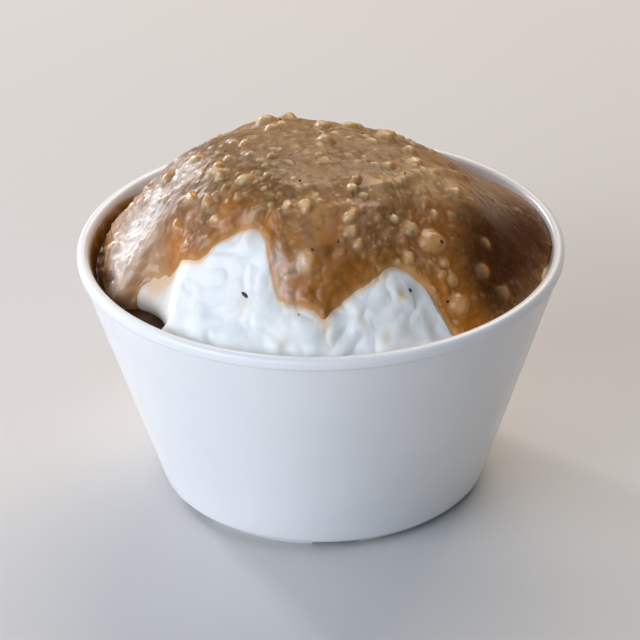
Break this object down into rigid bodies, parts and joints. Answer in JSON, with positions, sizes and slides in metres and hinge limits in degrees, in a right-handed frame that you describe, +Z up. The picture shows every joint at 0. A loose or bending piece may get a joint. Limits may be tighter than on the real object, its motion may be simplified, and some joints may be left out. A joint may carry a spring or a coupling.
{
  "type": "mashed potato side",
  "caption": "Small round white bowl heaped with mashed potato under a lumpy brown gravy, with bare potato showing at the front and gravy pooled by the wall.",
  "frame": {"origin": "On the bowl's axis at the height of its foot ring, so the bottom of the bounding box is z = 0.", "axes": "+Z up. The front, where the gravy leaves two windows of bare potato with a tongue of gravy between them, faces -Y. +X is to the right seen from the front."},
  "size_m": [0.11, 0.11, 0.0884],
  "materials": {
    "bowl": "glossy white melamine",
    "potato": "moist fluffy mashed potato",
    "gravy": "wet brown gravy with small lumps",
    "pool": "thin clear brown gravy"
  },
  "bodies": {
    "root": {"bowl": "bowl", "mashed_potato": "potato", "gravy": "gravy", "gravy_pool": "pool"}
  },
  "joints": []
}
